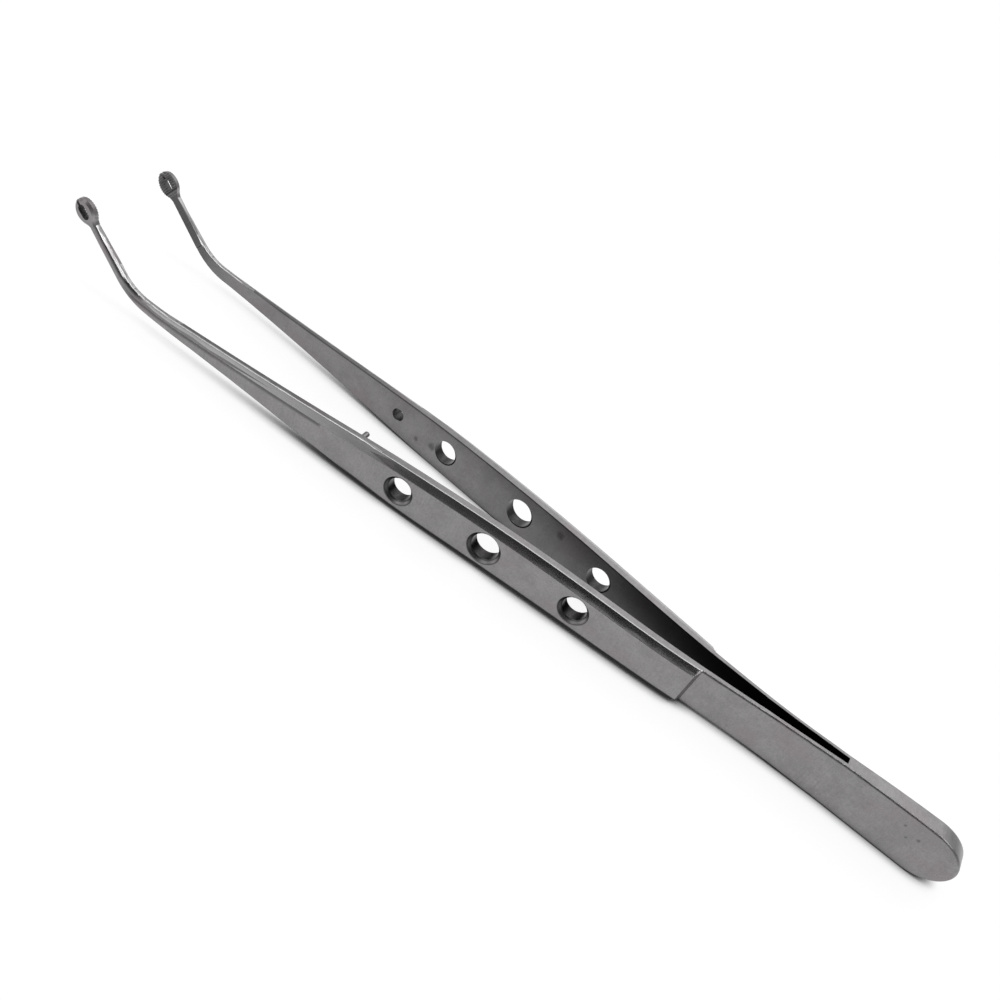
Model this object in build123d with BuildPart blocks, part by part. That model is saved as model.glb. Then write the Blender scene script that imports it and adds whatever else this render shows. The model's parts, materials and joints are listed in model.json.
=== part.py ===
from build123d import *

import os
from dataclasses import dataclass, fields
from math import asin, atan2, cos, degrees, hypot, radians, sin, tan

# Suture tweezers with two spring arms, grip holes, a guide pin and angled slotted ring tips.
# They stand on the arms' lower narrow edges. X runs from the tail to the tips, Y is the
# opening direction, Z is up, and Z = 0 is the surface under them. Millimetres throughout.
# Every distance called "at" is measured along X from the tail end.

overall_length = 160.3  # tail end to the foremost point of the rings

# Tail, where both arms are one solid
tail_x = -80.0  # its very end
tail_height = 9.05  # height of the rounded tail
tail_end_length = 5.9  # length of the half ellipse that ends it
tail_end_thickness = 3.4  # thickness at the very end
edge_round = 0.42  # rounding of the long outer edges, here and on the spring strips
slit_at = 20.75  # where the slit between the arms ends


@dataclass
class Key:
    """Section of the left arm at one place along it."""

    at: float  # distance from the tail end
    gap: float  # inner face to the middle plane
    low: float  # lower narrow edge above the surface
    high: float  # upper narrow edge above the surface
    edge: float  # thickness of the narrow edges
    rise: float  # how far the raised outer face stands out beyond them
    bevel: float  # height of the bevel along each outer edge
    draft: float  # how far the narrow edges lean in on the way out
    hollow: float  # depth of the flute in the bevel


# The spring strip starts at the slit, thins in height to the waist and thickens at the step
slit = Key(at=slit_at, gap=0.57, low=0.0, high=8.60, edge=0.79, rise=0, bevel=0, draft=0, hollow=0)
strip = Key(at=32.0, gap=0.98, low=0.25, high=8.00, edge=0.77, rise=0, bevel=0, draft=0, hollow=0)
step = Key(at=44.2, gap=1.75, low=0.38, high=7.62, edge=1.00, rise=1.18, bevel=0.75, draft=0, hollow=0.07)
waist = Key(at=50.0, gap=2.17, low=0.42, high=7.59, edge=1.22, rise=1.21, bevel=0.75, draft=0, hollow=0.07)
grip = Key(at=74.0, gap=3.94, low=0.32, high=8.13, edge=1.18, rise=1.25, bevel=0.79, draft=0, hollow=0.07)
rest = Key(at=96.0, gap=5.69, low=0.03, high=7.52, edge=1.22, rise=1.10, bevel=0.80, draft=0, hollow=0.05)
taper = Key(at=112.0, gap=6.80, low=0.79, high=6.24, edge=1.12, rise=0.86, bevel=0.70, draft=0, hollow=0)
neck = Key(at=125.0, gap=7.53, low=1.50, high=5.18, edge=1.03, rise=0.68, bevel=0.62, draft=0, hollow=-0.03)
shank = Key(at=138.0, gap=8.19, low=1.85, high=4.30, edge=0.97, rise=0.48, bevel=0.50, draft=0.05, hollow=-0.05)

# Length of the sloping shoulder at the step, and how much of the upper bevel the lower one has
shoulder_length = 0.55
lower_bevel_share = 0.82
shoulder_break = 0.18  # where the bevels run out on the strip's rounded edges

# Bend of the shank in the plane of the wide faces
bend_angle = 34.8  # how far the tips turn up
bend_radius = 10.0  # of the middle line
bend_corner_at = 146.8  # where the two straight middle lines would meet
bend_height = 3.05  # the middle line in front of the bend
bend_gap = 8.30  # inner face to the middle plane where the bend starts
bend_width = 2.16  # width in the plane of the wide face where the bend starts
shank_splay = 0.6  # degrees that the shank leans outward

# Shank between the bend and the ring
shank_width = 1.62  # where the bend ends
shank_tip_width = 1.42  # at the ring
shank_thickness = 1.32  # where the bend ends
shank_edge = 0.97  # thickness of its narrow edges
shank_draft = 0.05  # how far each narrow edge leans in over that thickness
shank_bevel = 0.46
shank_tip_bevel = 0.38
bend_thickness = 1.28  # where the bend starts
bend_edge = 0.92

# Rings at the tips
ring_length = 4.30  # along the shank
ring_width = 3.80
ring_thickness = 1.05
ring_edge = 0.68  # thickness at its rim
ring_gap = 8.46  # gripping face to the middle plane at the ring's centre, arms open
land_lean = 0.9  # degrees between gripping face and middle plane, so that the tips meet first
ring_neck_fillet = 1.8
ring_hole_width = 1.05  # on the gripping face
ring_hole_length = 2.05
ring_hole_flare = 10.0  # degrees that the hole widens outward on each side
ring_slit_width = 0.50
tooth_pitch = 0.38
tooth_depth = 0.09
tooth_count = 11
tip_clearance = 0.02  # left between the two gripping faces when the arms are squeezed shut

# Grip holes through each arm, countersunk outside
rear_hole_at = 63.95
middle_hole_at = 79.7
front_hole_at = 94.9
rear_hole_radius = 1.98
middle_hole_radius = 2.25
front_hole_radius = 1.93
hole_countersink = 0.48  # widening of the rim on the outer face
hole_lift = 0.12  # how far the holes stand above the middle of the wide face

# Guide pin in the left arm, and its hole through the right arm
pin_at = 105.0
pin_radius = 0.47
pin_reach = 4.70  # how far it stands out of the left arm's inner face
pin_seat_depth = 1.5
pin_end_round = 0.25
pin_seat_clearance = 0.01
pin_hole_radius = 0.98
pin_hole_break = 0.10  # chamfer round its mouth

os.makedirs("parts", exist_ok=True)

arm_keys = [slit, strip, step, waist, grip, rest, taper, neck, shank]


def section_at(at):
    """Smooth values between the keys, as a Key."""
    n = max(i for i in range(len(arm_keys) - 1) if arm_keys[i].at <= at or i == 0)
    a, b = arm_keys[n], arm_keys[n + 1]
    before = arm_keys[n - 1] if n > 0 else a
    after = arm_keys[n + 2] if n + 2 < len(arm_keys) else b
    u = (at - a.at) / (b.at - a.at)
    span = b.at - a.at
    values = {"at": at}
    for name in [f.name for f in fields(Key) if f.name != "at"]:
        v0, v1 = getattr(a, name), getattr(b, name)
        ma = (v1 - getattr(before, name)) / (b.at - before.at) * span
        mb = (getattr(after, name) - v0) / (after.at - a.at) * span
        values[name] = (
            (2 * u**3 - 3 * u**2 + 1) * v0
            + (u**3 - 2 * u**2 + u) * ma
            + (3 * u**2 - 2 * u**3) * v1
            + (u**3 - u**2) * mb
        )
    return Key(**values)


def section_points(k):
    """Corners of a section from the lower inner one round, as (outward, up)."""
    face = k.gap + k.edge + k.rise
    ridge = k.gap + k.edge
    return [
        (k.gap, k.low),
        (k.gap, k.high),
        (ridge, k.high - k.draft),
        (face, k.high - k.draft - k.bevel),
        (face, k.low + k.draft + k.bevel * lower_bevel_share),
        (ridge, k.low + k.draft),
    ]


def bowed(p, q, hollow):
    """A shallow curve from p to q, sunk by hollow on the way."""
    mx, my = (p[0] + q[0]) / 2, (p[1] + q[1]) / 2
    dx, dy = q[0] - p[0], q[1] - p[1]
    size = hypot(dx, dy)
    return Bezier(p, (mx + 2 * hollow * dy / size, my - 2 * hollow * dx / size), q)


def arm_section(points, hollow):
    """Edges of a section: flat inner face and narrow edges, bowed bevels and outer face."""
    Line(points[0], points[1])
    Line(points[1], points[2])
    bowed(points[2], points[3], hollow)
    bowed(points[3], points[4], min(hollow, 0) * 0.8)
    bowed(points[4], points[5], hollow)
    Line(points[5], points[0])


# Where the bend starts and ends, and the frame of the angled shank
tangent_length = bend_radius * tan(radians(bend_angle / 2))
bend_start_at = bend_corner_at - tangent_length
splay = radians(shank_splay)
forward = Vector(cos(splay), sin(splay), 0)
outward = Vector(-sin(splay), cos(splay), 0)
bend_start = Vector(tail_x + bend_start_at, bend_gap, bend_height)
bend_corner = bend_start + forward * tangent_length
shank_dir = forward * cos(radians(bend_angle)) + Vector(0, 0, 1) * sin(radians(bend_angle))
shank_start = bend_corner + shank_dir * tangent_length

# Where the ring stands: its foremost point gives the overall length
ring_half_length, ring_half_width = ring_length / 2, ring_width / 2
ring_front = hypot(ring_half_length * shank_dir.X, ring_half_width * shank_dir.Z)
ring_x = tail_x + overall_length - ring_front
ring_reach = (ring_x - bend_corner.X) / shank_dir.X
ring_z = bend_corner.Z + ring_reach * shank_dir.Z

# The arms turn about the inner corner of their roots, until the fronts of the gripping faces meet
hinge_x = tail_x + slit_at
hinge_y = slit.gap
lean = radians(land_lean)
tip_x = ring_x + ring_half_length * cos(lean) * cos(radians(bend_angle))
tip_y = ring_gap + ring_half_length * sin(lean) * cos(radians(bend_angle))
open_angle = atan2(tip_y - hinge_y, tip_x - hinge_x)
shut_angle = asin((tip_clearance - hinge_y) / hypot(tip_x - hinge_x, tip_y - hinge_y))
closing_angle = open_angle - shut_angle
print(f"hinge at x {hinge_x:.3f} y {hinge_y:.3f}, closing angle {degrees(closing_angle):.3f} deg")

# Gripping plane, which leans out a little less than the arms turn
land_forward = Vector(cos(lean), sin(lean), 0)
land_outward = Vector(-sin(lean), cos(lean), 0)
ring_centre = Vector(ring_x, ring_gap, ring_z)
ring_along = land_forward * cos(radians(bend_angle)) + Vector(0, 0, 1) * sin(radians(bend_angle))
ring_plane = Plane(origin=ring_centre, x_dir=ring_along, z_dir=land_outward)


# Tail: the two blanks joined into one solid with a rounded end
tail_front = slit.gap + slit.edge
with BuildPart() as tail:
    with BuildSketch(Plane.XZ):
        with BuildLine():
            centre = (tail_x + tail_end_length, tail_height / 2)
            EllipticalCenterArc(centre, tail_end_length, tail_height / 2, start_angle=90, arc_size=180)
            Spline(
                (tail_x + tail_end_length, tail_height),
                (hinge_x, slit.high),
                tangents=[(1, 0), (1, (strip.high - slit.high) / (strip.at - slit.at))],
            )
            Line((hinge_x, slit.high), (hinge_x, slit.low))
            Line((hinge_x, slit.low), (tail_x + tail_end_length, 0))
        make_face()
    extrude(amount=tail_end_thickness, both=True)
    with BuildSketch(Plane.XY):
        with BuildLine():
            Polyline(
                (tail_x, -tail_end_thickness / 2),
                (hinge_x, -tail_front),
                (hinge_x, tail_front),
                (tail_x, tail_end_thickness / 2),
                close=True,
            )
        make_face()
    extrude(amount=tail_height, mode=Mode.INTERSECT)
    long_edges = tail.faces().filter_by(lambda f: abs(f.normal_at().Y) > 0.9).edges()
    fillet(
        [e for e in long_edges if e.center().X < hinge_x - 0.01],
        radius=edge_round,
    )
tail.part.label = "tail"
export_step(tail.part, "parts/tail.step")

# Ring: flat gripping face with cross teeth, a hole that widens outward and a slit at the tip
ring_back = ring_half_length + 0.35
draft_angle = degrees(atan2(shank_draft, shank_edge))
outer_half = shank_tip_width / 2 - ring_thickness * tan(radians(draft_angle))
with BuildPart() as ring:
    with BuildSketch(ring_plane) as ring_outline:
        Ellipse(ring_half_length, ring_half_width)
        with Locations((-ring_back, 0)):
            Rectangle(2 * ring_back, shank_tip_width)
        corners = ring_outline.vertices().filter_by(
            lambda v: abs(hypot(v.X / ring_half_length, v.Y / ring_half_width) - 1) < 0.001
        )
        fillet(corners, radius=ring_neck_fillet)
    extrude(amount=ring_thickness, taper=draft_angle)
    split(bisect_by=Plane(origin=ring_centre - ring_along * ring_back, z_dir=ring_along))
    outer_face = ring.faces().sort_by(Axis(ring_centre, land_outward))[-1]
    outer_edges = outer_face.edges().filter_by(
        lambda e: (e.center() - ring_centre).dot(ring_along) > -ring_back + 0.01
    )
    chamfer(
        outer_edges,
        length=outer_half - (shank_tip_width / 2 - shank_draft - shank_tip_bevel),
        length2=(ring_thickness - ring_edge) / cos(radians(draft_angle)),
        reference=outer_face,
    )
    with BuildSketch(ring_plane):
        SlotOverall(ring_hole_length, ring_hole_width)
    extrude(amount=ring_thickness, taper=-ring_hole_flare, mode=Mode.SUBTRACT)
    with BuildSketch(ring_plane):
        with Locations((ring_half_length, 0)):
            Rectangle(2 * (ring_half_length - ring_hole_width / 2), ring_slit_width)
    extrude(amount=ring_thickness, mode=Mode.SUBTRACT)
    with BuildSketch(Plane(origin=ring_centre, x_dir=ring_along, z_dir=ring_plane.y_dir)):
        with GridLocations(tooth_pitch, 1, tooth_count, 1):
            Polygon((-tooth_depth, 0), (tooth_depth, 0), (0, -tooth_depth), align=None)
            Polygon((-tooth_depth, 0), (tooth_depth, 0), (0, tooth_depth), align=None)
    extrude(amount=ring_width, both=True, mode=Mode.SUBTRACT)

# The left arm's blank: spring strip, shoulder, grip, bent shank and ring
with BuildPart() as arm:
    strip_stations = 6
    for i in range(strip_stations):
        k = section_at(slit.at + (step.at - slit.at) * i / (strip_stations - 1))
        with BuildSketch(Plane.YZ.offset(tail_x + k.at)) as strip_section:
            with BuildLine():
                Polyline(
                    (k.gap, k.low),
                    (k.gap, k.high),
                    (k.gap + k.edge, k.high),
                    (k.gap + k.edge, k.low),
                    close=True,
                )
            make_face()
            outer_corners = strip_section.vertices().filter_by(
                lambda v: abs(v.X - k.gap - k.edge) < 0.001
            )
            fillet(outer_corners, radius=edge_round)
    loft()

    # Shoulder: the raised face and its bevels die away into the strip
    with BuildSketch(Plane.YZ.offset(tail_x + step.at)):
        with BuildLine():
            Polyline(
                (step.gap, step.low),
                (step.gap, step.high),
                (step.gap + step.edge - shoulder_break, step.high),
                (step.gap + step.edge, step.high - shoulder_break),
                (step.gap + step.edge, step.low + shoulder_break),
                (step.gap + step.edge - shoulder_break, step.low),
                close=True,
            )
        make_face()
    grip_start = section_at(step.at + shoulder_length)
    with BuildSketch(Plane.YZ.offset(tail_x + grip_start.at)):
        with BuildLine():
            Polyline(*section_points(grip_start), close=True)
        make_face()
    loft(ruled=True)

    # Grip and taper, up to the start of the bend
    grip_stations = 12
    for i in range(grip_stations):
        k = section_at(grip_start.at + (shank.at - grip_start.at) * i / (grip_stations - 1))
        with BuildSketch(Plane.YZ.offset(tail_x + k.at)):
            with BuildLine():
                arm_section(section_points(k), k.hollow)
            make_face()
    bend_plane = Plane(origin=(bend_start.X, bend_start.Y, 0), x_dir=outward, z_dir=forward)
    bend_key = Key(
        at=0,
        gap=0,
        low=bend_height - bend_width / 2,
        high=bend_height + bend_width / 2,
        edge=bend_edge,
        rise=bend_thickness - bend_edge,
        bevel=shank_bevel,
        draft=shank_draft,
        hollow=shank.hollow,
    )
    with BuildSketch(bend_plane):
        with BuildLine():
            arm_section(section_points(bend_key), bend_key.hollow)
        make_face()
    loft()

    # Bend: sections square to the middle line, narrowing to the shank
    bend_stations = 5
    for i in range(bend_stations):
        turn = radians(bend_angle) * i / (bend_stations - 1)
        share = i / (bend_stations - 1)
        width = bend_width + (shank_width - bend_width) * share
        edge = bend_edge + (shank_edge - bend_edge) * share
        thickness = bend_thickness + (shank_thickness - bend_thickness) * share
        place = bend_start + forward * (bend_radius * sin(turn))
        place += Vector(0, 0, bend_radius * (1 - cos(turn)))
        heading = forward * cos(turn) + Vector(0, 0, 1) * sin(turn)
        k = Key(
            at=0,
            gap=0,
            low=-width / 2,
            high=width / 2,
            edge=edge,
            rise=thickness - edge,
            bevel=shank_bevel,
            draft=shank_draft,
            hollow=shank.hollow,
        )
        with BuildSketch(Plane(origin=place, x_dir=outward, z_dir=heading)):
            with BuildLine():
                arm_section(section_points(k), k.hollow)
            make_face()
    loft()

    # Straight shank: the inner side is ground flat on the gripping plane, the rest runs on
    # at the splay of the arm, up to the back of the ring
    shank_plane = Plane(origin=shank_start, x_dir=outward, z_dir=shank_dir)
    shank_end = ring_centre - ring_along * ring_back
    land_start_y = ring_centre.Y - (ring_centre - shank_start).X * tan(lean)
    root_gap = land_start_y - shank_start.Y
    tip_plane = Plane(origin=shank_end, x_dir=land_outward, z_dir=ring_along)
    for plane, inner, width, edge, thickness, bevel in (
        (shank_plane, root_gap, shank_width, shank_edge, shank_thickness, shank_bevel),
        (tip_plane, 0, shank_tip_width, ring_edge, ring_thickness, shank_tip_bevel),
    ):
        k = Key(
            at=0,
            gap=inner,
            low=-width / 2,
            high=width / 2,
            edge=edge - inner,
            rise=thickness - edge,
            bevel=bevel,
            draft=shank_draft,
            hollow=shank.hollow,
        )
        with BuildSketch(plane):
            with BuildLine():
                arm_section(section_points(k), k.hollow)
            make_face()
    loft(ruled=True)
    add(ring.part)

    # Grip holes, countersunk from the outer face and square to it
    for at, radius in (
        (rear_hole_at, rear_hole_radius),
        (middle_hole_at, middle_hole_radius),
        (front_hole_at, front_hole_radius),
    ):
        k = section_at(at)
        k_next = section_at(at + 1)
        thickness = k.edge + k.rise
        along = Vector(1, (k_next.gap + k_next.edge + k_next.rise) - (k.gap + thickness), 0)
        along = along.normalized()
        face_centre = Vector(tail_x + at, k.gap + thickness, (k.low + k.high) / 2 + hole_lift)
        with Locations(Plane(origin=face_centre, x_dir=along, z_dir=Vector(-along.Y, along.X, 0))):
            CounterSinkHole(
                radius=radius,
                counter_sink_radius=radius + hole_countersink,
                depth=2 * thickness,
                counter_sink_angle=90,
            )

# Guide pin axis: square to the middle plane once the arms are squeezed shut
pin_key = section_at(pin_at)
pin_centre = Vector(tail_x + pin_at, pin_key.gap, (pin_key.low + pin_key.high) / 2)
pin_forward = Vector(cos(closing_angle), sin(closing_angle), 0)
pin_outward = Vector(-sin(closing_angle), cos(closing_angle), 0)
pin_plane = Plane(origin=pin_centre, x_dir=pin_forward, z_dir=-pin_outward)

with BuildPart() as left_arm:
    add(arm.part)
    with BuildSketch(pin_plane.offset(-pin_seat_depth)):
        Circle(pin_radius + pin_seat_clearance)
    extrude(amount=2 * pin_seat_depth, mode=Mode.SUBTRACT)
left_arm.part.label = "left_arm"
export_step(left_arm.part, "parts/left_arm.step")

with BuildPart() as guide_pin:
    with BuildSketch(pin_plane.offset(-pin_seat_depth)):
        Circle(pin_radius)
    extrude(amount=pin_seat_depth + pin_reach)
    fillet(guide_pin.edges().sort_by(Axis(pin_centre, -pin_outward))[-1], radius=pin_end_round)
guide_pin.part.label = "guide_pin"
export_step(guide_pin.part, "parts/guide_pin.step")

with BuildPart() as right_arm:
    add(arm.part)
    mirror(about=Plane.XZ, mode=Mode.REPLACE)
    hole_plane = Plane(
        origin=Vector(pin_centre.X, -pin_centre.Y, pin_centre.Z),
        x_dir=Vector(pin_forward.X, -pin_forward.Y, 0),
        z_dir=Vector(-pin_outward.X, pin_outward.Y, 0),
    )
    with Locations(hole_plane):
        CounterSinkHole(
            radius=pin_hole_radius,
            counter_sink_radius=pin_hole_radius + pin_hole_break,
            depth=2 * (pin_key.edge + pin_key.rise),
            counter_sink_angle=90,
        )
right_arm.part.label = "right_arm"
export_step(right_arm.part, "parts/right_arm.step")
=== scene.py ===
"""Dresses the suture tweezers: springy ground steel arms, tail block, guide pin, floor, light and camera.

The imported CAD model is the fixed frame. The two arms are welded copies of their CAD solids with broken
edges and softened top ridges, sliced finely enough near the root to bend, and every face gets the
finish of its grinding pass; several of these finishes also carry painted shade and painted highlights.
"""

import json
import logging
import math
from dataclasses import dataclass
from enum import Enum
from typing import Callable, Optional, Union

import bmesh
import bpy
from mathutils import Matrix, Vector

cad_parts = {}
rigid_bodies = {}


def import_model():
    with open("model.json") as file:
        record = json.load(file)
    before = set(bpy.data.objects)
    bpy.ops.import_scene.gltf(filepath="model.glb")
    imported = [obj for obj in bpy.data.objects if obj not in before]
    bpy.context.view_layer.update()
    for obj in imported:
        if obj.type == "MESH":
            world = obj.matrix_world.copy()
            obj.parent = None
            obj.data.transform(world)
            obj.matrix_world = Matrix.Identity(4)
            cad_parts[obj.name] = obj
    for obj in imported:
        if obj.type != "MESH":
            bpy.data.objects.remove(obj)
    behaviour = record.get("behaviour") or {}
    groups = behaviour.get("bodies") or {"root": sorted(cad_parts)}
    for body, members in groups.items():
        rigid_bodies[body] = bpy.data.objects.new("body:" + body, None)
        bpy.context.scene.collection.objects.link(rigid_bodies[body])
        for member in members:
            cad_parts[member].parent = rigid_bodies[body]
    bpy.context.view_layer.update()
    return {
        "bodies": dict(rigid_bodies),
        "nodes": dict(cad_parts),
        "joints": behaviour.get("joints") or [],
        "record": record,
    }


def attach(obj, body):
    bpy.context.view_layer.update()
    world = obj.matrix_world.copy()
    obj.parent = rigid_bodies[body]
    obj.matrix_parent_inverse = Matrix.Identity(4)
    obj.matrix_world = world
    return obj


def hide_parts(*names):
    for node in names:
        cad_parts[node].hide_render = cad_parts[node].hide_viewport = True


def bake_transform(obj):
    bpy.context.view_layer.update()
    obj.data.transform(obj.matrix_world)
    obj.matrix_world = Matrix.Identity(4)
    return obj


LOG = logging.getLogger("suture_tweezers")
MM = 0.001
JOINT_AT = -59.25 * MM  # where the tail ends and the arms begin
WELD = 0.002 * MM  # vertices this close together are one
TOUCH = 0.001 * MM  # a vertex this near the joint is on it
EDGE_BREAK = 0.045 * MM  # width of the rounding of a broken edge
EDGE_ANGLE_DEG = 24.0  # an edge over this angle is rounded
SHARP_ANGLE_DEG = 32.0  # an edge over this angle is shaded sharp
WIDE_FACE = 0.93  # least share of Y in the normal of a wide face
SQUARE_FACE = 0.9  # least share of a direction in the normal of a face square to it
OUTWARD = 0.3  # least share of the outward way in the normal of a face that leans outward
HOLE_WALL = 0.95  # greatest share of Y in the normal of a hole's wall or countersink
CROSSWISE = 0.5  # least share of Y in the direction of an edge that runs across
MIX_SHARE, MIX_FIRST, MIX_SECOND, MIX_RESULT = 0, 6, 7, 2  # a Mix node's sockets for colours
Span = tuple[float, float]
Triple = tuple[float, float, float]
Course = tuple[Span, ...]
Number = Union[float, "Signal"]


class Side(Enum):
    """Which of the two arms, as the sign of its Y side."""

    LEFT = 1
    RIGHT = -1

    @property
    def node(self) -> str:
        """Name of the arm's CAD node and body."""
        return f"{self.name.lower()}_arm"


class Surface(Enum):
    """The grinding pass that left a face as it is, in material slot order; several slots also carry painted
    shade and painted highlights.
    """

    FLAT = 0
    INNER = 1
    EDGE = 2
    FLUTE = 3
    UNDER = 4
    SINK = 5
    BORE = 6
    GRIP = 7
    SHANK = 8
    RIDGE = 9
    TRIM = 10
    DEEP = 11


@dataclass(frozen=True)
class Hole:
    """A round hole through both arms, seen along Y."""

    x: float
    z: float
    radius: float
    sink: float

    def reach(self, x: float, z: float) -> float:
        """Distance of a point from the hole's axis."""
        return math.hypot(x - self.x, z - self.z)

    def near(self, x: float, z: float, margin: float = 0.0) -> bool:
        """Whether a point is inside the hole with its countersink, or within a margin round them."""
        return self.reach(x, z) < self.radius + self.sink + margin


GRIP_HOLES = (
    Hole(-16.05 * MM, 4.177 * MM, 1.98 * MM, 0.48 * MM),
    Hole(-0.30 * MM, 4.155 * MM, 2.25 * MM, 0.48 * MM),
    Hole(14.90 * MM, 3.797 * MM, 1.93 * MM, 0.48 * MM),
)
PLAIN_HOLES = tuple(Hole(hole.x, hole.z, hole.radius, 0.0) for hole in GRIP_HOLES)


@dataclass(frozen=True)
class Fade:
    """A tone that changes along X from one level to another."""

    start: float
    start_level: float
    end: float
    end_level: float


@dataclass(frozen=True)
class Smudge:
    """A small dark spot with a ragged rim, at a place in X and Z."""

    x: float
    z: float
    radius: float
    depth: float = 0.42
    ragged: float = 1.6
    rim: Span = (1.2, 0.35)


@dataclass(frozen=True)
class Pattern:
    """Noise over a surface, from its cells per metre along X, Y and Z."""

    cells: Triple
    detail: float = 2.0
    roughness: float = 0.5
    shift: Triple = (0.0, 0.0, 0.0)


CLOUD = Pattern((260.0, 300.0, 300.0), 3.0, 0.6)
FLECK = Pattern((1500.0, 1500.0, 1500.0), 2.0, 0.6)
FINE = Pattern((4600.0, 4600.0, 4600.0), 1.0, shift=(3.0, 5.0, 8.0))
TINT = Pattern((150.0, 210.0, 210.0), shift=(7.0, 3.0, 1.0))
ZONE = Pattern((120.0, 120.0, 120.0), shift=(2.0, 9.0, 4.0))


@dataclass(frozen=True)
class PaintedShadeLine:
    """A soft line of painted shade along the lower or upper edge of a wide face."""

    points: Course
    width: float
    strength: float
    upper: bool = False
    core: float = 0.35
    start_fade: Span = (-0.3 * MM, 0.3 * MM)
    end_fade: Span = (0.0, -5.0 * MM)


# painted shade along the lower edge of the wide face, standing in for the shadowed floor under it
LOWER_SHADE_LINE = PaintedShadeLine(
    (
        (-35.6 * MM, 1.02 * MM),
        (-12.0 * MM, 0.99 * MM),
        (0.0 * MM, 0.88 * MM),
        (12.0 * MM, 0.67 * MM),
        (16.0 * MM, 0.70 * MM),
        (27.0 * MM, 1.10 * MM),
    ),
    0.30 * MM,
    0.80,
)
# painted shade along the upper edge of the inner face, below the top band
UPPER_SHADE_LINE = PaintedShadeLine(
    (
        (-34.0 * MM, 7.60 * MM),
        (-28.0 * MM, 7.64 * MM),
        (-12.0 * MM, 8.06 * MM),
        (-4.0 * MM, 8.12 * MM),
        (4.0 * MM, 7.97 * MM),
        (12.0 * MM, 7.70 * MM),
        (20.0 * MM, 7.25 * MM),
        (36.0 * MM, 5.91 * MM),
        (44.0 * MM, 5.27 * MM),
        (56.0 * MM, 4.42 * MM),
    ),
    0.34 * MM,
    0.55,
    True,
)
# painted shade below the top edge of the front part's wide face
FRONT_SHADE_LINE = PaintedShadeLine(
    (
        (30.0 * MM, 5.70 * MM),
        (36.0 * MM, 5.23 * MM),
        (44.0 * MM, 4.65 * MM),
        (52.0 * MM, 4.11 * MM),
        (60.0 * MM, 3.67 * MM),
        (70.0 * MM, 3.60 * MM),
    ),
    0.90 * MM,
    0.50,
    True,
)


@dataclass(frozen=True)
class Signal:
    """A number that varies over a surface: one shader socket that takes part in expressions."""

    bench: "ShaderBench"
    socket: bpy.types.NodeSocket

    def __add__(self, other: Number) -> "Signal":
        """self + other."""
        return self.bench.maths("ADD", self, other)

    def __radd__(self, other: Number) -> "Signal":
        """other + self."""
        return self.bench.maths("ADD", other, self)

    def __sub__(self, other: Number) -> "Signal":
        """self - other."""
        return self.bench.maths("SUBTRACT", self, other)

    def __rsub__(self, other: Number) -> "Signal":
        """other - self."""
        return self.bench.maths("SUBTRACT", other, self)

    def __mul__(self, other: Number) -> "Signal":
        """self * other."""
        return self.bench.maths("MULTIPLY", self, other)

    def __rmul__(self, other: Number) -> "Signal":
        """other * self."""
        return self.bench.maths("MULTIPLY", other, self)

    def __truediv__(self, other: Number) -> "Signal":
        """self / other."""
        return self.bench.maths("DIVIDE", self, other)

    def clamp(self) -> "Signal":
        """The value kept between 0 and 1."""
        return self.bench.maths("ADD", self, 0.0, clamp=True)

    def step(self, low: float, high: float) -> "Signal":
        """Smooth step from 0 at low to 1 at high, or from 1 to 0 where low is the greater.

        Args:
            low: value that gives 0.
            high: value that gives 1.

        Returns:
            The stepped signal.
        """
        t = ((self - low) / (high - low)).clamp()
        return t * t * (3.0 - 2.0 * t)

    def over(self, span: Span, middle: float = 0.0) -> "Signal":
        """Smooth step over a span that is measured from a middle."""
        return self.step(middle + span[0], middle + span[1])


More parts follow.
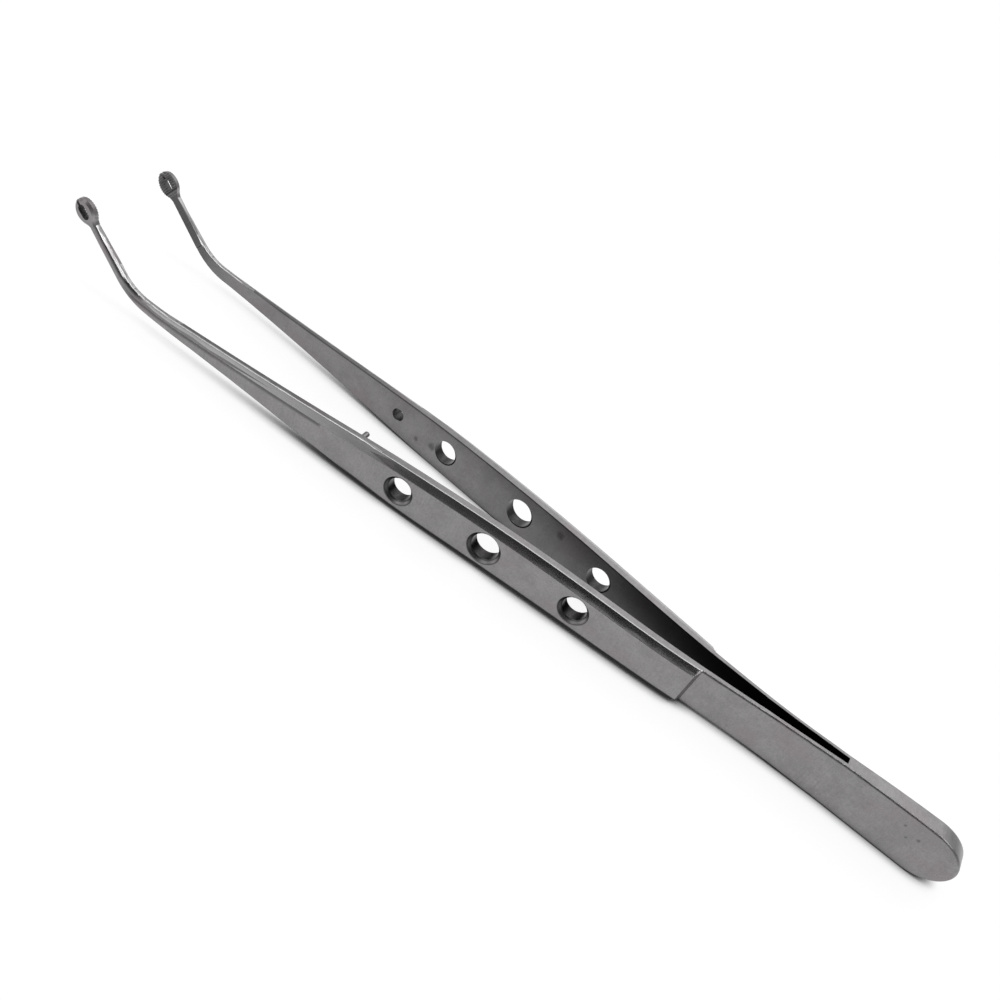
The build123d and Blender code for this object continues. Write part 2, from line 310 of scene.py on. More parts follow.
class ShaderBench:
    """Adds nodes to one node tree."""

    def __init__(self, tree: bpy.types.NodeTree) -> None:
        """Empties the tree and keeps it.

        Args:
            tree: the node tree of a material or world.
        """
        self.tree = tree
        tree.nodes.clear()

    def node(
        self,
        kind: str,
        settings: Optional[dict] = None,
        inputs: Optional[dict] = None,
    ) -> bpy.types.Node:
        """Adds one node, with its settings set before its sockets.

        Args:
            kind: the node's type, such as "ShaderNodeTexNoise".
            settings: attributes of the node.
            inputs: value, Signal, socket or node for each input, by name or index.

        Returns:
            The new node.
        """
        made = self.tree.nodes.new(kind)
        for name, value in (settings or {}).items():
            setattr(made, name, value)
        for key, value in (inputs or {}).items():
            self._feed(made.inputs[key], value)
        return made

    def _feed(self, socket: bpy.types.NodeSocket, value: object) -> None:
        """Links or sets one input socket."""
        if isinstance(value, Signal):
            self.tree.links.new(value.socket, socket)
        elif isinstance(value, bpy.types.NodeSocket):
            self.tree.links.new(value, socket)
        elif isinstance(value, bpy.types.Node):
            self.tree.links.new(value.outputs[0], socket)
        elif socket.type == "RGBA":
            socket.default_value = (*value, 1.0) if len(value) == 3 else value
        else:
            socket.default_value = value

    def maths(self, operation: str, *values: Number, clamp: bool = False) -> Signal:
        """Adds a Math node.

        Args:
            operation: the node's operation.
            values: its inputs in order.
            clamp: whether the result stays between 0 and 1.

        Returns:
            The result as a Signal.
        """
        made = self.node(
            "ShaderNodeMath",
            {"operation": operation, "use_clamp": clamp},
            dict(enumerate(values)),
        )
        return Signal(self, made.outputs[0])

    def place(self) -> bpy.types.NodeSocket:
        """Object coordinates, which are metres in the object's frame."""
        return self.node("ShaderNodeTexCoord").outputs["Object"]

    def axes(self, vector: bpy.types.NodeSocket) -> tuple[Signal, Signal, Signal]:
        """Splits a vector into its three numbers."""
        made = self.node("ShaderNodeSeparateXYZ", inputs={0: vector})
        return tuple(Signal(self, out) for out in made.outputs)

    def noise(self, vector: bpy.types.NodeSocket, pattern: Pattern) -> Signal:
        """Noise from 0 to 1 round 0.5.

        Args:
            vector: coordinates in metres.
            pattern: its cells and their detail.

        Returns:
            The noise.
        """
        cells = self.node(
            "ShaderNodeMapping",
            {"vector_type": "POINT"},
            {"Vector": vector, "Scale": pattern.cells, "Location": pattern.shift},
        )
        made = self.node(
            "ShaderNodeTexNoise",
            {"noise_dimensions": "3D"},
            {"Vector": cells, "Scale": 1.0, "Detail": pattern.detail, "Roughness": pattern.roughness},
        )
        return Signal(self, made.outputs[0])

    def blend(
        self,
        amount: Number,
        first: object,
        second: object,
        kind: str = "MIX",
    ) -> bpy.types.NodeSocket:
        """Mixes two colours.

        Args:
            amount: share of the second colour.
            first: colour or colour socket.
            second: colour or colour socket.
            kind: the node's way of mixing.

        Returns:
            The mixed colour's socket.
        """
        made = self.node(
            "ShaderNodeMix",
            {"data_type": "RGBA", "blend_type": kind, "clamp_factor": True},
            {MIX_SHARE: amount, MIX_FIRST: first, MIX_SECOND: second},
        )
        return made.outputs[MIX_RESULT]

    def darken(self, colour: bpy.types.NodeSocket, level: Signal) -> bpy.types.NodeSocket:
        """Multiplies a colour by a grey level."""
        grey = self.node("ShaderNodeCombineColor", inputs={0: level, 1: level, 2: level})
        return self.blend(1.0, colour, grey, "MULTIPLY")


@dataclass(frozen=True)
class GroundSteel:
    """Satin stainless steel as one grinding pass leaves it; its hole rims and edge lines, and most of its
    tone fades, are painted shade and painted light.
    """

    name: str
    light: Triple = (0.300, 0.293, 0.296)
    dark: Triple = (0.225, 0.219, 0.222)
    stain: Triple = (0.262, 0.232, 0.243)
    tone: float = 1.0
    roughness: float = 0.40
    roughness_spread: float = 0.08
    grain: Triple = (5200.0, 5200.0, 260.0)
    grain_height: float = 0.0000012
    grain_tone: float = 0.10
    grain_break: float = 0.65
    grain_roughness: float = 0.06
    mottle: float = 0.5
    patch_shares: Span = (0.65, 0.35)
    patch_span: Span = (0.36, 0.64)
    stain_span: Span = (0.52, 0.70)
    stain_share: float = 0.55
    speck: float = 0.13
    chatter: float = 0.0
    chatter_pitch: float = 0.62 * MM
    chatter_span: Span = (0.54, 0.66)
    chatter_wander: float = 9.0
    chatter_tone: float = 0.05
    chatter_height: float = 0.5
    fades: tuple[Fade, ...] = ()
    holes: tuple[Hole, ...] = ()
    hole_shade: float = 0.0
    shade_from: Span = (-0.1, 0.7)
    shade_until: Span = (4.0 * MM, 3.0 * MM)
    # painted shade at each hole: its ragged rim line and corner line
    rim_shade_ragged: float = 0.10 * MM
    rim_spans: tuple[Span, Span] = ((-0.20 * MM, -0.04 * MM), (0.12 * MM, 0.03 * MM))
    rim_shade_depth: float = 0.62
    corner_spans: tuple[Span, Span] = ((0.12 * MM, 0.01 * MM), (-0.30 * MM, -0.05 * MM))
    corner_shade_depth: float = 0.55
    lines: tuple[PaintedShadeLine, ...] = ()
    smudges: tuple[Smudge, ...] = ()

    def material(self) -> bpy.types.Material:
        """Builds the material's nodes.

        Returns:
            The finished material.
        """
        made = bpy.data.materials.new(self.name)
        made.use_nodes = True
        bench = ShaderBench(made.node_tree)
        place = bench.place()
        cloud, fleck, fine, tint = (bench.noise(place, kind) for kind in (CLOUD, FLECK, FINE, TINT))
        line = bench.noise(place, Pattern(self.grain, roughness=self.grain_break))
        coarse, small = self.patch_shares
        patch = (cloud * coarse + fleck * small).over(self.patch_span)
        colour = bench.blend(patch * self.mottle + (0.5 - self.mottle * 0.5), self.light, self.dark)
        colour = bench.blend(tint.over(self.stain_span) * self.stain_share, colour, self.stain)
        level = self.tone + (line - 0.5) * (self.grain_tone * 2.0) + (fine - 0.5) * (self.speck * 3.0)
        rough = self.roughness + (cloud - 0.5) * self.roughness_spread + (line - 0.5) * self.grain_roughness
        height = line
        x, _, z = bench.axes(place)
        if self.chatter:
            turns = x * (2.0 * math.pi / self.chatter_pitch) + cloud * self.chatter_wander
            mark = bench.noise(place, ZONE).over(self.chatter_span) * self.chatter
            ripple = bench.maths("SINE", turns) * mark
            level = level + ripple * self.chatter_tone
            height = height + ripple * self.chatter_height
        for fade in self.fades:
            share = x.step(fade.start, fade.end)
            level = level * (share * (fade.end_level - fade.start_level) + fade.start_level)
        # painted shade round each hole, and, where hole_shade is set, on its side towards the tips
        for hole in self.holes:
            level = level * self._rim_shade(bench, x, z, fleck, hole)
            if self.hole_shade:
                ahead = x - hole.x
                front = (ahead / hole.radius).over(self.shade_from) * ahead.over(self.shade_until)
                level = level * (1.0 - front * self.hole_shade)
        # painted shade along edges of the wide faces
        for edge in self.lines:
            level = level * self._painted_shade_line(bench, x, z, edge)
        for spot in self.smudges:
            level = level * self._smudge(bench, x, z, fleck, spot)
        colour = bench.darken(colour, level)
        bump = bench.node(
            "ShaderNodeBump",
            inputs={"Height": height, "Distance": self.grain_height, "Strength": 1.0},
        )
        shader = bench.node(
            "ShaderNodeBsdfPrincipled",
            inputs={
                "Base Color": colour,
                "Metallic": 1.0,
                "Roughness": rough,
                "Normal": bump,
            },
        )
        bench.node("ShaderNodeOutputMaterial", inputs={"Surface": shader})
        return made

    def _rim_shade(self, bench: ShaderBench, x: Signal, z: Signal, ragged: Signal, hole: Hole) -> Signal:
        """Painted shade in the corner and at the outer rim of a countersink.

        Args:
            bench: where the nodes go.
            x: X of the shaded point in metres.
            z: Z of the shaded point in metres.
            ragged: noise that breaks the rim.
            hole: the hole.

        Returns:
            A level to multiply with, 1 away from the rim.
        """
        across, up = x - hole.x, z - hole.z
        reach = bench.maths("SQRT", across * across + up * up) + (ragged - 0.5) * self.rim_shade_ragged
        inner, outer = (reach.over(part, hole.radius + hole.sink) for part in self.rim_spans)
        wall, floor = (reach.over(part, hole.radius) for part in self.corner_spans)
        return 1.0 - (inner * outer * self.rim_shade_depth + wall * floor * self.corner_shade_depth).clamp()

    @staticmethod
    def _painted_shade_line(bench: ShaderBench, x: Signal, z: Signal, edge: PaintedShadeLine) -> Signal:
        """The painted shade along one edge of a wide face.

        Args:
            bench: where the nodes go.
            x: X of the shaded point in metres.
            z: Z of the shaded point in metres.
            edge: the edge's course, width and strength.

        Returns:
            A level to multiply with, 1 away from the edge.
        """
        (x0, height), *rest = edge.points
        course: Number = height
        slope = 0.0
        for x1, next_height in rest:
            turn = (next_height - height) / (x1 - x0) - slope
            course = bench.maths("MAXIMUM", x - x0, 0.0) * turn + course
            slope += turn
            x0, height = x1, next_height
        inward = (course - z) if edge.upper else (z - course)
        start, end = edge.points[0][0], edge.points[-1][0]
        window = x.over(edge.start_fade, start) * x.over(edge.end_fade, end)
        return 1.0 - inward.step(edge.width, edge.width * edge.core) * window * edge.strength

    @staticmethod
    def _smudge(bench: ShaderBench, x: Signal, z: Signal, ragged: Signal, spot: Smudge) -> Signal:
        """The darkening in a small spot.

        Args:
            bench: where the nodes go.
            x: X of the shaded point in metres.
            z: Z of the shaded point in metres.
            ragged: noise that breaks the rim.
            spot: the spot.

        Returns:
            A level to multiply with, 1 away from the spot.
        """
        across, up = (x - spot.x) / spot.radius, (z - spot.z) / spot.radius
        reach = bench.maths("SQRT", across * across + up * up) + (ragged - 0.5) * spot.ragged
        return 1.0 - reach.over(spot.rim) * spot.depth


def welded_copy(node: bpy.types.Object) -> bmesh.types.BMesh:
    """A copy of a CAD node's mesh with the borders of its patches joined."""
    mesh = bmesh.new()
    mesh.from_mesh(node.data)
    bmesh.ops.remove_doubles(mesh, verts=mesh.verts[:], dist=WELD)
    return mesh


def is_hard(edge: bmesh.types.BMEdge) -> bool:
    """Whether two faces meet at an edge at enough of an angle for it to be rounded."""
    return len(edge.link_faces) == 2 and edge.calc_face_angle(0.0) > math.radians(EDGE_ANGLE_DEG)


def rounded(
    mesh: bmesh.types.BMesh,
    width_of: Callable[[bmesh.types.BMEdge], float],
    widest: float,
) -> bmesh.types.BMesh:
    """Rounds edges, each by its own width, and marks the new faces.

    Args:
        mesh: the mesh to round, which is freed.
        width_of: gives the rounding width of an edge in metres, 0 for none.
        widest: the greatest width.

    Returns:
        The rounded mesh, whose new faces have the TRIM slot and all others slot 0.
    """
    weight = mesh.edges.layers.float.new("bevel_weight_edge")
    for edge in mesh.edges:
        edge[weight] = width_of(edge) / widest
    for face in mesh.faces:
        face.material_index = 0
    data = bpy.data.meshes.new("rounding")
    mesh.to_mesh(data)
    mesh.free()
    for _ in Surface:
        data.materials.append(None)
    holder = bpy.data.objects.new("rounding", data)
    bpy.context.scene.collection.objects.link(holder)
    bevel = holder.modifiers.new("rounding", "BEVEL")
    bevel.limit_method = "WEIGHT"
    bevel.width = widest
    bevel.segments = 3
    bevel.profile = 0.5
    bevel.use_clamp_overlap = False
    bevel.miter_outer = "MITER_ARC"
    bevel.material = Surface.TRIM.value
    found = holder.evaluated_get(bpy.context.evaluated_depsgraph_get())
    baked = bpy.data.meshes.new_from_object(found)
    result = bmesh.new()
    result.from_mesh(baked)
    bpy.data.objects.remove(holder)
    bpy.data.meshes.remove(data)
    bpy.data.meshes.remove(baked)
    return result


@dataclass
class SpringArm:
    """One arm: spring strip, fluted grip, bent shank and slotted ring tip.

    Fields that end in _up or _out are limits on the upright or outward share of a face's normal.
    """

    side: Side
    finishes: dict[Surface, bpy.types.Material]
    root_at: float = JOINT_AT
    flex_until: float = -38.0 * MM
    flex_slice: float = 1.0 * MM
    flex_margin: float = 2.0 * MM
    step_at: float = -35.8 * MM
    step_reach: float = 1.6 * MM
    step_slope: float = 0.25
    bend_at: float = 63.7 * MM
    bend_until: float = 69.4 * MM
    shank_rise_deg: float = 34.8
    shank_from: float = 58.0 * MM
    ridge: Course = (
        (20.0 * MM, 7.18 * MM),
        (24.0 * MM, 7.446 * MM),
        (30.0 * MM, 7.808 * MM),
        (36.0 * MM, 8.126 * MM),
        (42.0 * MM, 8.418 * MM),
        (48.0 * MM, 8.701 * MM),
        (54.0 * MM, 8.983 * MM),
        (57.0 * MM, 9.120 * MM),
        (60.0 * MM, 9.217 * MM),
        (66.0 * MM, 9.266 * MM),
        (69.0 * MM, 9.322 * MM),
        (72.0 * MM, 9.225 * MM),
        (75.6 * MM, 9.108 * MM),
    )
    inner_ridge: Course = (
        (57.0 * MM, 8.144 * MM),
        (60.0 * MM, 8.259 * MM),
        (63.0 * MM, 8.299 * MM),
        (66.0 * MM, 8.325 * MM),
        (70.6 * MM, 8.330 * MM),
    )
    ridge_runs: tuple[tuple[int, int], ...] = ((0, 3), (3, 7), (7, 9), (9, 10), (10, 12))
    inner_runs: tuple[tuple[int, int], ...] = ((0, 1), (1, 4))
    ridge_width: float = 0.44 * MM
    ridge_scores: Triple = (1.0, 0.66, 0.33)
    ridge_drop: float = 0.16 * MM
    ridge_depth: float = 1.3 * MM
    ridge_slice: float = 1.2 * MM
    slice_up: float = -0.2
    slice_out: float = -0.5
    ridge_start_fade: float = 3.0 * MM
    ridge_end_fade: float = 1.5 * MM
    slices_from: float = 15.0 * MM
    heights_from: float = 19.0 * MM
    grip_ridge: float = 0.13 * MM
    grip_ridge_up: float = 0.98
    grip_ridge_out: Span = (0.3, 0.8)
    tip_angle_deg: float = 60.0
    neck_at: float = 73.0 * MM
    hole_margin: float = 0.1 * MM
    pin_margin: float = 0.06 * MM
    sink_out: float = 0.35
    ring_wall_out: float = 0.8
    ridge_up: float = 0.75
    ridge_within: float = 0.12
    trim_up: float = 0.3
    trim_out: float = 0.1
    tip_square: float = 0.85
    pin_hole: Hole = Hole(25.0 * MM, 3.622 * MM, 0.98 * MM, 0.0)
    ring_hole: Hole = Hole(78.228 * MM, 10.993 * MM, 1.35 * MM, 0.0)

    def build(self, frame: dict) -> bpy.types.Object:
        """Makes the arm's mesh.

        Returns:
            The finished arm.
        """
        mesh = welded_copy(frame["nodes"][self.side.node])
        self._soften_ridge(mesh)
        self._slice_spring(mesh)
        mesh = rounded(mesh, self._width_of, self.grip_ridge)
        self._sort_faces(mesh)
        arm = finish_mesh(mesh, f"{self.side.node}_steel", self.finishes)
        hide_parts(self.side.node)
        self.side.node
        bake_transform(arm)
        return arm

    def _width_of(self, edge: bmesh.types.BMEdge) -> float:
        """Rounding width of an edge, 0 for a soft one or one of the joint with the tail."""
        if not is_hard(edge) or all(v.co.x < self.root_at + TOUCH for v in edge.verts):
            return 0.0
        centre = (edge.verts[0].co + edge.verts[1].co) / 2.0
        if centre.x > self.shank_from:
            clear = edge.calc_face_angle(0.0) > math.radians(self.tip_angle_deg)
            return EDGE_BREAK if clear and centre.x < self.neck_at else 0.0
        if any(hole.near(centre.x, centre.z, self.hole_margin) for hole in (*GRIP_HOLES, self.pin_hole)):
            return 0.0
        along = (edge.verts[1].co - edge.verts[0].co).normalized()
        if abs(along.y) > CROSSWISE:
            return EDGE_BREAK
        up = self._up_at(centre.x)
        level = max(face.normal.dot(up) for face in edge.link_faces)
        out = max(face.normal.y * self.side.value for face in edge.link_faces)
        least, most = self.grip_ridge_out
        topmost = level > self.grip_ridge_up and least < out < most
        if topmost and self.step_at < centre.x < self.ridge[0][0]:
            return self.grip_ridge
        return EDGE_BREAK

    @staticmethod
    def _course(points: Course, x: float) -> Optional[float]:
        """Distance of a ridge from the middle plane, or None beyond its ends."""
        for (x0, y0), (x1, y1) in zip(points, points[1:]):
            if x0 <= x <= x1:
                return y0 + (y1 - y0) * (x - x0) / (x1 - x0)
        return None

    def _soften_ridge(self, mesh: bmesh.types.BMesh) -> None:
        """Rounds the top of the front part down towards its outer ridge, and towards both in the bend."""
        mesh.normal_update()
        self._slice_top(mesh)
        self._score_top(mesh)
        heights = self._top_heights(mesh)
        for vert in mesh.verts:
            inside, fade = self._ridge_share(vert.co)
            if inside <= 0.0:
                continue
            up = self._up_at(vert.co.x)
            top = min(heights, key=lambda place: abs(place.x - vert.co.x))
            deep = (top - vert.co).dot(up) / self.ridge_depth
            if deep > 1.0:
                continue
            drop = self.ridge_drop * min(1.0, inside) ** 2 * (1.0 - max(0.0, deep) ** 2)
            vert.co -= up * drop * fade
        mesh.normal_update()

    def _slice_top(self, mesh: bmesh.types.BMesh) -> None:
        """Cuts cross-sections into the top, and into the outer side too from the shank on."""
        at = self.ridge[0][0] - self.ridge_slice
        while at < self.ridge[-1][0]:
            least = self.slice_up if at > self.shank_from else SQUARE_FACE
            top = [
                face
                for face in mesh.faces
                if face.calc_center_median().x > self.slices_from
                and face.normal.y * self.side.value > self.slice_out
                and face.normal.dot(self._up_at(face.calc_center_median().x)) > least
            ]
            self._cut_across(mesh, at, self._with_borders(top))
            mesh.normal_update()
            at += self.ridge_slice

    def _score_top(self, mesh: bmesh.types.BMesh) -> None:
        """Cuts lines beside the ridges into the top, straight between a few of the ridges' points."""
        runs = [(self.ridge, ends, -1.0) for ends in self.ridge_runs]
        runs += [(self.inner_ridge, ends, 1.0) for ends in self.inner_runs]
        for points, (first, last), way in runs:
            (x0, y0), (x1, y1) = points[first], points[last]
            for share in self.ridge_scores:
                top = [
                    face
                    for face in mesh.faces
                    if face.normal.dot(self._up_at(face.calc_center_median().x)) > SQUARE_FACE
                    and max(v.co.x for v in face.verts) > x0
                    and min(v.co.x for v in face.verts) < x1
                ]
                bmesh.ops.bisect_plane(
                    mesh,
                    geom=self._with_borders(top),
                    dist=WELD,
                    plane_co=(x0, (y0 + way * share * self.ridge_width) * self.side.value, 0.0),
                    plane_no=(y0 - y1, (x1 - x0) * self.side.value, 0.0),
                )
                mesh.normal_update()

    @staticmethod
    def _with_borders(faces: list[bmesh.types.BMFace]) -> list:
        """Faces with their vertices and edges, in a fixed order."""
        edges = dict.fromkeys(edge for face in faces for edge in face.edges)
        verts = dict.fromkeys(vert for face in faces for vert in face.verts)
        return [*verts, *edges, *faces]

    def _ridge_share(self, place: Vector) -> tuple[float, float]:
        """How far a point is within the rounded strip of the outer or inner ridge.

        Args:
            place: the point.

        Returns:
            0 at the strip's start to 1 and more at the ridge, and a fade for the strip's ends.
        """
        found = (0.0, 0.0)
        for points, way in ((self.ridge, 1.0), (self.inner_ridge, -1.0)):
            line = self._course(points, place.x)
            if line is None:
                continue
            inside = way * (place.y * self.side.value - line) / self.ridge_width + 1.0
            start = (place.x - points[0][0]) / self.ridge_start_fade
            end = (points[-1][0] - place.x) / self.ridge_end_fade
            if inside > found[0]:
                found = (inside, max(0.0, min(1.0, start, end)))
        return found

    def _top_heights(self, mesh: bmesh.types.BMesh) -> list[Vector]:
        """Places of the top's vertices along its inner side."""
        return [
            Vector((vert.co.x, 0.0, vert.co.z))
            for vert in mesh.verts
            if vert.co.x > self.heights_from
            and any(face.normal.dot(self._up_at(vert.co.x)) > SQUARE_FACE for face in vert.link_faces)
            and any(face.normal.y * self.side.value < -SQUARE_FACE for face in vert.link_faces)
        ]

    def _up_at(self, x: float) -> Vector:
        """The arm's own upright direction, which leans back where the tip is bent up."""
        share = (x - self.bend_at) / (self.bend_until - self.bend_at)
        lean = math.radians(self.shank_rise_deg) * min(1.0, max(0.0, share))
        return Vector((-math.sin(lean), 0.0, math.cos(lean)))

    def _slice_spring(self, mesh: bmesh.types.BMesh) -> None:
        """Cuts cross-sections into the strip, so that it bends smoothly."""
        at = self.root_at + self.flex_slice
        while at < self.flex_until + self.flex_margin:
            self._cut_across(mesh, at, [*mesh.verts, *mesh.edges, *mesh.faces])
            at += self.flex_slice

    @staticmethod
    def _cut_across(mesh: bmesh.types.BMesh, at: float, geometry: list) -> None:
        """Cuts the given parts of a mesh along one cross-section."""
        bmesh.ops.bisect_plane(
            mesh,
            geom=geometry,
            dist=WELD,
            plane_co=(at, 0.0, 0.0),
            plane_no=(1.0, 0.0, 0.0),
        )

    def _sort_faces(self, mesh: bmesh.types.BMesh) -> None:
        """Gives each face the material slot of its grinding pass."""
        mesh.normal_update()
        for face in mesh.faces:
            face.material_index = self._pass_of(face).value
            face.smooth = True

    def _pass_of(self, face: bmesh.types.BMFace) -> Surface:
        """Which grinding pass made a face, from its place and direction."""
        centre = face.calc_center_median()
        out = face.normal.y * self.side.value
        up = face.normal.dot(self._up_at(centre.x))
        place = (centre.x, centre.z)
        if abs(out) < HOLE_WALL:
            if any(hole.near(*place, self.hole_margin) for hole in GRIP_HOLES):
                return Surface.BORE if out < self.sink_out else Surface.SINK
            if self.pin_hole.near(*place, self.pin_margin):
                return Surface.DEEP
        if self.ring_hole.near(*place) and abs(out) < self.ring_wall_out:
            return Surface.DEEP
        sloping = abs(face.normal.x) > self.step_slope and out > OUTWARD
        if centre.x < self.step_at + self.step_reach and sloping:
            return Surface.FLAT
        # the softened ridge strips get the ridge's painted highlight
        if up > self.ridge_up and self._ridge_share(centre)[0] > self.ridge_within:
            return Surface.RIDGE
        # up-facing roundings get the ridge's painted highlight, the others the trim's painted shade
        if face.material_index == Surface.TRIM.value:
            bright = up > self.trim_up and (out > self.trim_out or centre.x > self.shank_from)
            return Surface.RIDGE if bright else Surface.TRIM
        if centre.x > self.shank_from:
            if out < -self.tip_square:
                return Surface.GRIP
            if abs(up) > self.tip_square:
                return Surface.EDGE
            return Surface.FLAT if out > WIDE_FACE else Surface.SHANK
        if out > WIDE_FACE:
            return Surface.FLAT
        if out < -WIDE_FACE:
            return Surface.INNER
        if centre.x > self.step_at and out > OUTWARD:
            return Surface.FLUTE if face.normal.z > 0.0 else Surface.UNDER
        return Surface.EDGE


def finish_mesh(
    mesh: bmesh.types.BMesh,
    name: str,
    finishes: dict[Surface, bpy.types.Material],
) -> bpy.types.Object:
    """Turns a bmesh into a linked object with the finishes in slot order.

    Args:
        mesh: the finished bmesh, which is freed.
        name: the piece's name.
        finishes: a material for each surface.

    Returns:
        The new object, at the origin.
    """
    flats = {Surface.FLAT.value, Surface.INNER.value}
    soft = {Surface.SHANK.value, Surface.RIDGE.value, Surface.GRIP.value}
    for edge in mesh.edges:
        if len(edge.link_faces) != 2:
            continue
        kinds = {face.material_index for face in edge.link_faces}
        bordered = kinds & flats and not kinds <= flats and not kinds & soft
        if edge.calc_face_angle(0.0) > math.radians(SHARP_ANGLE_DEG) or bordered:
            edge.smooth = False
    data = bpy.data.meshes.new(name)
    mesh.to_mesh(data)
    mesh.free()
    for surface in Surface:
        data.materials.append(finishes[surface])
    made = bpy.data.objects.new(name, data)
    bpy.context.scene.collection.objects.link(made)
    made.modifiers.new("even shading", "WEIGHTED_NORMAL").keep_sharp = True
    LOG.info("%s: %d faces", name, len(data.polygons))
    return made


@dataclass
class TailBlock:
    """The solid rear end where the two blanks are joined."""

    finishes: dict[Surface, bpy.types.Material]
    trim_up: float = 0.3

    def build(self, frame: dict) -> bpy.types.Object:
        """Makes the tail's mesh, with the arms' finishes so that no seam shows.


        Returns:
            The finished tail.
        """
        mesh = rounded(welded_copy(frame["nodes"]["tail"]), self._width_of, EDGE_BREAK)
        mesh.normal_update()
        for face in mesh.faces:
            face.material_index = self._pass_of(face).value
            face.smooth = True
        tail = finish_mesh(mesh, "tail_steel", self.finishes)
        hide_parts("tail")
        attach(tail, "tail")
        return tail

    @staticmethod
    def _width_of(edge: bmesh.types.BMEdge) -> float:
        """Rounding width of an edge, 0 for a soft one or one of the joint with the arms."""
        joint = all(v.co.x > JOINT_AT - TOUCH for v in edge.verts)
        return EDGE_BREAK if is_hard(edge) and not joint else 0.0

    def _pass_of(self, face: bmesh.types.BMFace) -> Surface:
        """Which grinding pass made a face, from its direction."""
        # roundings that don't face up get the trim's painted shade
        if face.material_index == Surface.TRIM.value and face.normal.z < self.trim_up:
            return Surface.TRIM
        return Surface.FLAT if abs(face.normal.y) > WIDE_FACE else Surface.EDGE


@dataclass
class GuidePin:
    """The round-ended pin that lines the tips up."""

    finish: bpy.types.Material

    def dress(self, frame: dict) -> bpy.types.Object:
        """Gives the CAD pin its finish.


        Returns:
            The pin's object.
        """
        pin = frame["nodes"]["guide_pin"]
        pin.data.materials.clear()
        pin.data.materials.append(self.finish)
        LOG.info("guide_pin: dressed")
        return pin


@dataclass(frozen=True)
class Lobe:
    """A soft bright or dark area of the studio, seen in one direction."""

    azimuth: float
    elevation: float
    strength: float
    reach_deg: float

    def direction(self) -> Vector:
        """Unit vector towards the area; azimuth runs from +X to +Y."""
        turn, up = math.radians(self.azimuth), math.radians(self.elevation)
        return Vector((math.cos(turn) * math.cos(up), math.sin(turn) * math.cos(up), math.sin(up)))


